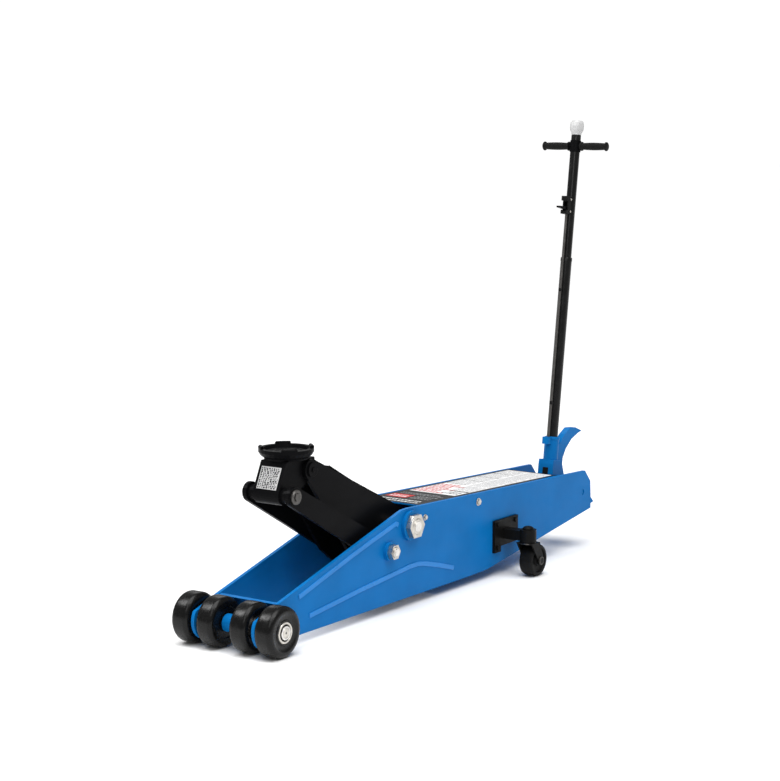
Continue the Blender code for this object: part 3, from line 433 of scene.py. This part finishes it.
def build_ribs(look):
    """Raised beads pressed into the side plates."""
    lower = [(156, 60), (258, 71), (358, 82), (470, 92), (570, 101), (606, 101), (640, 95),
             (700, 80), (767, 61)]
    upper = [(116, 112), (216, 141), (318, 170), (400, 192), (484, 213), (508, 219), (518, 214)]
    for side, sign in SIDES:
        for name, path, half in (("lower", lower, 6.0), ("upper", upper, 6.0)):
            bm = bmesh.new()
            slab(bm, strip(path, half), sign * 92.6, sign * (93 + look.rib_height))
            obj = piece(f"rib_{name}_{side}", bm, MATERIALS["blue_bead_painted_highlight"], "chassis", bevel=1.8, segments=4)


def build_screws(look):
    """Hexagon screws: cover screws, lock screws by the big nuts, bracket bolts, clamp bolts."""
    spots = [("cover_screw", PLATE_FACE, 884, 214, 8.2, "steel"),
             ("lock_screw", PLATE_FACE, 636, 214, 6.2, "steel")]
    for side, sign in SIDES:
        for name, x, y, z, r, look_name in spots:
            bm = bmesh.new()
            drum(bm, r * 1.25, 0, 1.4, (x * sign, y, z), "X", 28)
            drum(bm, r, 1.3, 5.2, (x * sign, y, z), "X", 6)
            if sign < 0:
                bmesh.ops.reverse_faces(bm, faces=bm.faces)
                bmesh.ops.scale(bm, vec=(-1, 1, 1), verts=bm.verts)
                bmesh.ops.translate(bm, vec=(x * sign * 2, 0, 0), verts=bm.verts)
            obj = piece(f"{name}_{side}", bm, MATERIALS[look_name], "chassis", bevel=0.5)
        bm = bmesh.new()
        for dy, dz in ((-44, 140), (44, 140), (44, 92), (-44, 78)):
            start = sign * 100.9
            low, high = sorted((start, start + sign * 4.6))
            drum(bm, 7.0, low, high, (0, CASTER_SWIVEL_Y + dy, dz), "X", 6)
        obj = piece(f"bracket_bolts_{side}", bm, MATERIALS["bracket"], "chassis", bevel=0.6)
        bm = bmesh.new()
        for x, y in ((118.2, 570), (118.8, 478)):
            z = 204.5 if y == 570 else 155.5
            r = 13.0 if y == 570 else 9.0
            low, high = sorted((sign * (x - 0.6), sign * (x + 0.5)))
            drum(bm, r, low, high, (0, y, z), "X", 32)
        obj = piece(f"pivot_ends_{side}", bm, MATERIALS["bright"], "chassis", bevel=0.4)


def build_label(look):
    """The printed film on the cover: black field, white panel and generic blocks, no words."""
    rng = random.Random(7)

    def patch(bm, x0, x1, y0, y1, low, high):
        """A thin slab lying on the sloping cover."""
        made = bmesh.ops.create_cube(bm, size=1)
        for v in made["verts"]:
            x = x1 if v.co.x > 0 else x0
            y = y1 if v.co.y > 0 else y0
            v.co = (x, y, cover_z(y) + (high if v.co.z > 0 else low))

    layers = {"ink_black": [(-82.5, 82.5, 624, 1308, 0.02, 0.32)],
              "ink_white": [(-71, 70, 806, 1297, 0.3, 0.5)], "ink_red": [(-70, -8, 694, 742, 0.3, 0.5)],
              "ink_grey": []}

    def row(tone, x0, x1, y, thick, shortest, longest, gap, low=0.48):
        """A broken line of plain blocks across the film."""
        x = x0
        while x < x1 - shortest:
            end = min(x + rng.uniform(shortest, longest), x1)
            layers[tone].append((x, end, y, y + thick, low, low + 0.16))
            x = end + gap * rng.uniform(0.8, 1.3)

    for y, thick, x0, x1 in ((640, 9, -68, 66), (662, 9, -60, 60), (700, 6, 2, 64), (716, 6, 2, 60),
                             (732, 6, 2, 66), (756, 5, -66, 66), (770, 5, -66, 50)):
        row("ink_white" if thick > 6 else "ink_grey", x0, x1, y, thick, 3, 9, 3.0, 0.3)
    row("ink_white", -64, -14, 704, 10, 4, 8, 2.6)
    row("ink_white", -64, -14, 722, 6, 3, 9, 2.6)
    for i in range(8):
        row("ink_red", -68, -6 if i % 3 else 22, 816 + 19 * i, 11, 4, 11, 3.0)
    row("ink_black", 14, 68, 826, 9, 5, 9, 2.2)
    row("ink_black", 24, 68, 846, 9, 5, 9, 2.2)
    row("ink_black", 14, 68, 868, 13, 7, 12, 2.4)
    for i in range(10):
        row("ink_grey", 8, 68, 892 + 8.2 * i, 3.2, 6, 22, 2.6)
    for i in range(36):
        y = 980 + 8.7 * i
        heading = i % 9 == 0
        row("ink_black" if heading else "ink_grey", -69, -4, y, 4.4 if heading else 3.2, 6, 24, 2.8)
        row("ink_grey", 3, 68 - 12 * (i % 4 == 3), y, 3.2, 6, 24, 2.8)
    for tone, patches in layers.items():
        bm = bmesh.new()
        for entry in patches:
            patch(bm, *entry)
        obj = piece(f"label_{tone}", bm, MATERIALS[tone], "chassis")


def build_badge(look):
    """The silver plate on the head's sloping front face, with a plain printed pattern."""
    top = Vector((146.2, 420.0))
    foot = Vector((117.2, 356.5))
    along = (foot - top).normalized()
    normal = Vector((-abs(along.y), along.x))
    if normal.x > 0:
        normal = -normal
    frame = Matrix(((1, 0, 0, 0), (0, along.x, normal.x, top.x), (0, along.y, normal.y, top.y),
                    (0, 0, 0, 1)))

    def patch(bm, x0, x1, s0, s1, low, high):
        block(bm, (x0, s0, low), (x1, s1, high), frame)

    bm = bmesh.new()
    patch(bm, -29, 29, 17, 71, 0.1, 0.9)
    obj = piece("badge_plate", bm, MATERIALS["badge"], "head_body", bevel=0.3)
    bm = bmesh.new()
    rng = random.Random(3)
    for j in range(12):
        x = -27.0
        while x < 24.5:
            width = rng.uniform(2.0, 5.6)
            foot_of_row = 19.4 + 4.2 * j
            end_of_row = 22.2 + 4.2 * j + rng.uniform(-0.9, 0.9)
            patch(bm, x, min(x + width, 27), foot_of_row, end_of_row, 0.8, 1.05)
            x += width + rng.uniform(1.4, 4.0)
    obj = piece("badge_print", bm, MATERIALS["ink_black"], "head_body")


def build_head_details(look):
    """Pin end caps, link washers and the collar under the saddle."""
    bm = bmesh.new()
    lathe(bm, [(51.5, 0.3), (51.5, 1.2), (30, 1.2), (22.5, 1.0), (22.5, 0.3)],
          (0, SADDLE_Y, SADDLE_SEAT_Z), "Z", 64)
    obj = piece("saddle_collar", bm, MATERIALS["black"], "saddle_body", smooth=40)
    for side, sign in SIDES:
        bm = bmesh.new()
        low, high = sorted((sign * 49.6, sign * 52.6))
        drum(bm, 17.5, low, high, (0, *ARM_HEAD_PIN), "X", 40)
        low, high = sorted((sign * 52.4, sign * 55.0))
        drum(bm, 6.5, low, high, (0, *ARM_HEAD_PIN), "X", 6)
        obj = piece(f"head_pin_cap_{side}", bm, MATERIALS["black"], "lift_arm_body", bevel=0.8)
        bm = bmesh.new()
        low, high = sorted((sign * 75.4, sign * 78.6))
        drum(bm, 10.5, low, high, (0, *LINK_FRONT_BOLT), "X", 6)
        obj = piece(f"link_bolt_cap_{side}", bm, MATERIALS["dark_steel"], "head_body", bevel=0.8)
        bm = bmesh.new()
        ring = [(23.0, 0), (23.0, 2.0 * sign), (18.6, 2.0 * sign), (18.6, 0)]
        lathe(bm, ring, (sign * 67.9, *LINK_FRONT_BOLT), "X", 48)
        obj = piece(f"link_washer_{side}", bm, MATERIALS["black"], f"link_body_{side}", bevel=0.5)


def build_saddle_pad(look):
    """Concentric gripping ridges on the saddle floor."""
    bm = bmesh.new()
    z = SADDLE_FLOOR_Z
    lathe(bm, [(47, z - 0.4), (47, z + 0.6), (45, z + 1.2), (38, z + 1.2), (37, z + 0.3), (33, z + 0.3),
               (32, z + 1.2), (25, z + 1.2), (24, z + 0.3), (20, z + 0.3), (19, z + 1.2),
               (12, z + 1.2), (11, z + 0.3), (0, z + 0.3)], (0, SADDLE_Y, 0), "Z", 64)
    obj = piece("saddle_ridges", bm, MATERIALS["black"], "saddle_body", smooth=30)


def build_casters(look):
    """Rubber-tyred caster wheels with hubs, axle nuts and swivel caps."""
    for side, sign in SIDES:
        x, (y, z) = sign * CASTER_X, CASTER_AXLE
        body = f"caster_wheel_body_{side}"
        half = 19.2
        tread = [(33, half - 0.2), (38, half), (41, half - 2), (42.4, half - 7), (42.45, 0)]
        tread += [(r, -h) for r, h in reversed(tread[:-1])]
        inner = [(32, -half + 1.5), (31, -half + 5), (16, -half + 6.5), (13, -half + 1), (8.4, -half + 1),
                 (8.4, half - 1), (13, half - 1), (16, half - 6.5), (31, half - 5), (32, half - 1.5)]
        bm = bmesh.new()
        lathe(bm, tread + inner, (x, y, z), "X", 64)
        obj = piece(f"caster_roller_{side}", bm, MATERIALS["rubber"], body, smooth=40)
        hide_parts(f"caster_wheel_{side}")
        fork = f"caster_swivel_body_{side}"
        bm = bmesh.new()
        for end in (1, -1):
            low, high = sorted((x + end * 24.4, x + end * 27.6))
            drum(bm, 11.0, low, high, (0, y, z), "X", 32)
            low, high = sorted((x + end * 27.4, x + end * 28.4))
            drum(bm, 9.8, low, high, (0, y, z), "X", 6)
        obj = piece(f"caster_axle_nuts_{side}", bm, MATERIALS["dark_steel"], fork, bevel=0.5)
        bm = bmesh.new()
        lathe(bm, [(0, 137.5), (5, 137.3), (10, 136), (13.5, 133.4), (15, 130.2), (15, 128.6), (0, 128.6)],
              (x, CASTER_SWIVEL_Y, 0), "Z", 40)
        obj = piece(f"swivel_cap_{side}", bm, MATERIALS["bracket"], fork, smooth=50)
        bm = bmesh.new()
        lathe(bm, [(24, 93.6), (24, 91.2), (23, 90.4), (9, 90.4), (9, 93.6)],
              (x, CASTER_SWIVEL_Y, 0), "Z", 40)
        obj = piece(f"swivel_race_{side}", bm, MATERIALS["dark_steel"], fork, smooth=40)


def build_grips(look):
    """Ribbed hand grips with end flanges."""
    matrix = handle_matrix()
    for side, sign in SIDES:
        profile = [(7.9, 18.5), (12.6, 18.5), (12.8, 19.4), (12.8, 22.2), (11.2, 23.6), (9.6, 25.0)]
        for i in range(16):
            x = 26.5 + 4.3 * i
            swell = 9.6 + 1.2 * math.sin(math.pi * (i + 0.5) / 16)
            profile += [(swell, x), (swell - 0.5, x + 0.6), (swell - 0.5, x + 1.3), (swell, x + 1.9)]
        profile += [(9.8, 95.6), (11.6, 97.0), (12.7, 98.2), (12.7, 100.6), (11.2, 101.9), (0, 102.0)]
        profile += [(0, 101.2), (7.9, 101.2)]
        bm = bmesh.new()
        lathe(bm, [(r, x * sign) for r, x in profile], (0, BARREL_Y, GRIP_Z), "X", 40)
        obj = piece(f"grip_ribbed_{side}", bm, MATERIALS["rubber"], "handle_body", matrix, 50)
        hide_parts(f"grip_{side}")


def build_knob(look):
    """Lobed pale release knob with a skirt and a top boss."""
    bm = bmesh.new()
    levels = [(1004, 0), (1004, 13.5), (1007, 14.5), (1011, 15.2), (1015, 19.2), (1020, 20.8),
              (1034, 20.6), (1039, 19.0), (1043.5, 16.0), (1044.6, 10.4), (1043.8, 8.0), (1043.8, 0)]
    lathe(bm, [(r, z) for z, r in levels], (0, BARREL_Y, 0), "Z", 72)
    for v in bm.verts:
        dx, dy = v.co.x, v.co.y - BARREL_Y
        r = math.hypot(dx, dy)
        if r > 15.8 and v.co.z > 1012:
            wave = 1 - 0.055 * (0.5 - 0.5 * math.cos(6 * math.atan2(dy, dx)))
            v.co.x = dx * wave
            v.co.y = BARREL_Y + dy * wave
    obj = piece("knob_lobed", bm, MATERIALS["pale"], "release_body", handle_matrix(), 45)
    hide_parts("release_knob")


def build_handle_details(look):
    """Step collar, rod guides, clamp screws and the dark window in the socket."""
    matrix = handle_matrix()
    bm = bmesh.new()
    lathe(bm, [(16.4, 646), (16.4, 655), (15.8, 657), (13.9, 657.4), (13.9, 646)], (0, BARREL_Y, 0), "Z", 48)
    obj = piece("tube_collar", bm, MATERIALS["tube"], "handle_body", matrix, 40)
    bm = bmesh.new()
    for z in (560, 240):
        ring = [(5.4, z), (5.4, z + 9), (4.3, z + 9), (4.3, z)]
        lathe(bm, ring, (0, BARREL_Y - 20.5, 0), "Z", 24)
    obj = piece("rod_guides", bm, MATERIALS["tube"], "handle_body", matrix, 40)
    bm = bmesh.new()
    for z in (786, 820):
        drum(bm, 3.2, 8.9, 11.4, (0, BARREL_Y - 17, z), "X", 6)
    obj = piece("clamp_screws", bm, MATERIALS["steel"], "handle_body", matrix, bevel=0.5)
    bm = bmesh.new()
    # A black block laid on the socket face stands for the opening there: painted shade, not a part.
    front = BARREL_Y - 23.5
    block(bm, (-9, front - 0.8, 30), (9, front + 2, 62))
    obj = piece("socket_opening_painted_shade", bm, MATERIALS["rubber"], "handle_body", matrix, bevel=0.8)
    bm = bmesh.new()
    lathe(bm, [(21.0, 140), (21.8, 142), (21.8, 146), (20.9, 149.2), (16.2, 149.2), (16.2, 140)],
          (0, BARREL_Y, 0), "Z", 56)
    obj = piece("socket_rim", bm, MATERIALS["blue"], "handle_body", matrix, 40)


def build_welds(look):
    """Rippled weld beads where the arm web meets its plates."""
    for side, sign in SIDES:
        bm = bmesh.new()
        start, end = Vector((514, 274.5)), Vector((311, 385))
        count = 46
        for i in range(count):
            p = start.lerp(end, i / (count - 1))
            made = bmesh.ops.create_icosphere(bm, subdivisions=1, radius=2.6)
            bmesh.ops.translate(bm, verts=made["verts"], vec=(sign * 37.6, p.x, p.y))
        obj = piece(f"web_weld_{side}", bm, MATERIALS["black"], "lift_arm_body", smooth=60)


def build_studio(look):
    """Pale floor, soft lights and the camera."""
    scene = bpy.context.scene
    bm = bmesh.new()
    bmesh.ops.create_grid(bm, x_segments=1, y_segments=1, size=40)
    mesh = bpy.data.meshes.new("studio_floor")
    bm.to_mesh(mesh)
    bm.free()
    floor = bpy.data.objects.new("studio_floor", mesh)
    floor.location.z = -0.0004
    make = Maker("floor_white", (0.93, 0.93, 0.93), 0.7)
    drift = make.noise(1.2, 2.0)
    make.colour(make.mix(drift, (0.92, 0.92, 0.92), (0.94, 0.94, 0.94)))
    mesh.materials.append(make.material)
    scene.collection.objects.link(floor)
    world = bpy.data.worlds.new("studio")
    scene.world = world
    world.use_nodes = True
    tree = world.node_tree
    back = tree.nodes["Background"]
    back.inputs["Color"].default_value = (1, 1, 1, 1)
    seen = tree.nodes.new("ShaderNodeLightPath")
    level = tree.nodes.new("ShaderNodeMapRange")
    level.inputs["To Min"].default_value = look.world
    level.inputs["To Max"].default_value = 1.05
    tree.links.new(seen.outputs["Is Camera Ray"], level.inputs["Value"])
    tree.links.new(level.outputs["Result"], back.inputs["Strength"])
    sky = bpy.data.lights.new("overhead", "SUN")
    sky.energy = look.overhead
    sky.angle = math.radians(50)
    lamp = bpy.data.objects.new("overhead", sky)
    lamp.rotation_euler = (math.radians(8), math.radians(6), 0)
    scene.collection.objects.link(lamp)
    lights = [("key", (1.6, -3.2, 2.4), 1.4, look.key), ("side", (2.2, -1.0, 2.8), 1.2, look.side),
              ("front", (-2.0, -1.75, 2.8), 1.1, look.front), ("back", (-2.2, 2.4, 2.6), 1.6, look.back)]
    for name, spot, size, power in lights:
        data = bpy.data.lights.new(name, "AREA")
        data.shape = "SQUARE"
        data.size = size
        data.energy = power
        lamp = bpy.data.objects.new(name, data)
        lamp.location = spot
        aim = Vector((0, -0.2, 0.25)) - Vector(spot)
        lamp.rotation_euler = aim.to_track_quat("-Z", "Y").to_euler()
        scene.collection.objects.link(lamp)
    data = bpy.data.cameras.new("camera")
    data.sensor_fit = "HORIZONTAL"
    data.sensor_width = 36
    data.lens = look.lens
    data.clip_end = 60
    camera = bpy.data.objects.new("camera", data)
    camera.location = (2.9068, -3.5289 - Y_CENTRE * MM, 1.2279)
    camera.rotation_euler = (math.radians(90 - 7.854), 0, math.radians(35.040))
    scene.collection.objects.link(camera)
    scene.camera = camera
    scene.view_settings.view_transform = "Standard"


# The add-on


class JackLook(bpy.types.PropertyGroup):
    """Sizes and looks that the operators read."""

    blue: bpy.props.FloatVectorProperty(name="Blue", description="Frame enamel colour",
                                        subtype="COLOR", size=3, default=(0.002, 0.142, 0.42))
    blue_rough: bpy.props.FloatProperty(name="Blue roughness", description="Gloss of the blue enamel",
                                        default=0.34, min=0.05, max=1.0)
    wheel_shoulder: bpy.props.FloatProperty(name="Wheel shoulder",
                                            description="Shoulder radius of the rollers in millimetres",
                                            default=12.5, min=4.0, max=20.0)
    rib_height: bpy.props.FloatProperty(name="Rib height",
                                        description="Height of the pressed beads in millimetres",
                                        default=2.2, min=0.5, max=4.0)
    world: bpy.props.FloatProperty(name="World light", description="Strength of the white surround",
                                   default=0.32, min=0.0)
    overhead: bpy.props.FloatProperty(name="Overhead light", description="Strength of the overhead light",
                                      default=2.75, min=0.0)
    key: bpy.props.FloatProperty(name="Key light", description="Power of the key light",
                                 unit="POWER", default=18)
    side: bpy.props.FloatProperty(name="Side light", description="Power of the side light",
                                  unit="POWER", default=27)
    front: bpy.props.FloatProperty(name="Front light", description="Power of the front light",
                                   unit="POWER", default=46)
    back: bpy.props.FloatProperty(name="Back light", description="Power of the back light",
                                  unit="POWER", default=14)
    lens: bpy.props.FloatProperty(name="Lens", description="Camera focal length",
                                  unit="CAMERA", default=94.27)


GROUPS = (
    ("wheels", "Rollers", build_wheels),
    ("axle_ends", "Axle ends", build_axle_ends),
    ("ribs", "Pressed ribs", build_ribs),
    ("screws", "Screws and bolts", build_screws),
    ("label", "Cover label", build_label),
    ("badge", "Head badge", build_badge),
    ("head_details", "Head details", build_head_details),
    ("saddle_pad", "Saddle ridges", build_saddle_pad),
    ("casters", "Casters", build_casters),
    ("grips", "Grips", build_grips),
    ("knob", "Release knob", build_knob),
    ("handle_details", "Handle details", build_handle_details),
    ("welds", "Welds", build_welds),
    ("studio", "Studio", build_studio),
)


class JACK_OT_materials(bpy.types.Operator):
    """Make the materials and dress the loaded nodes"""

    bl_idname = "jack.materials"
    bl_label = "Materials"

    def execute(self, context):
        make_materials(context.scene.jack_look)
        dress_nodes()
        return {"FINISHED"}


def operator_for(key, label, builder):
    def execute(self, context):
        builder(context.scene.jack_look)
        return {"FINISHED"}

    parts = {"bl_idname": f"jack.{key}", "bl_label": label, "__doc__": builder.__doc__, "execute": execute}
    return type(f"JACK_OT_{key}", (bpy.types.Operator,), parts)


class JACK_PT_panel(bpy.types.Panel):
    """Sidebar panel with one button for each group of pieces"""

    bl_label = "Service Jack"
    bl_idname = "JACK_PT_panel"
    bl_space_type = "VIEW_3D"
    bl_region_type = "UI"
    bl_category = "Service Jack"

    def draw(self, context):
        look = context.scene.jack_look
        for name in ("blue", "blue_rough", "wheel_shoulder", "rib_height", "lens"):
            self.layout.prop(look, name)
        self.layout.operator("jack.materials")
        for key, _, _ in GROUPS:
            self.layout.operator(f"jack.{key}")


CLASSES = (JackLook, JACK_OT_materials, *(operator_for(*group) for group in GROUPS), JACK_PT_panel)


def register():
    for made in CLASSES:
        bpy.utils.register_class(made)
    bpy.types.Scene.jack_look = bpy.props.PointerProperty(type=JackLook)


def unregister():
    del bpy.types.Scene.jack_look
    for made in reversed(CLASSES):
        bpy.utils.unregister_class(made)


def main():
    register()
    bpy.ops.jack.materials()
    for key, _, _ in GROUPS:
        getattr(bpy.ops.jack, key)()


if __name__ == "__main__":
    main()
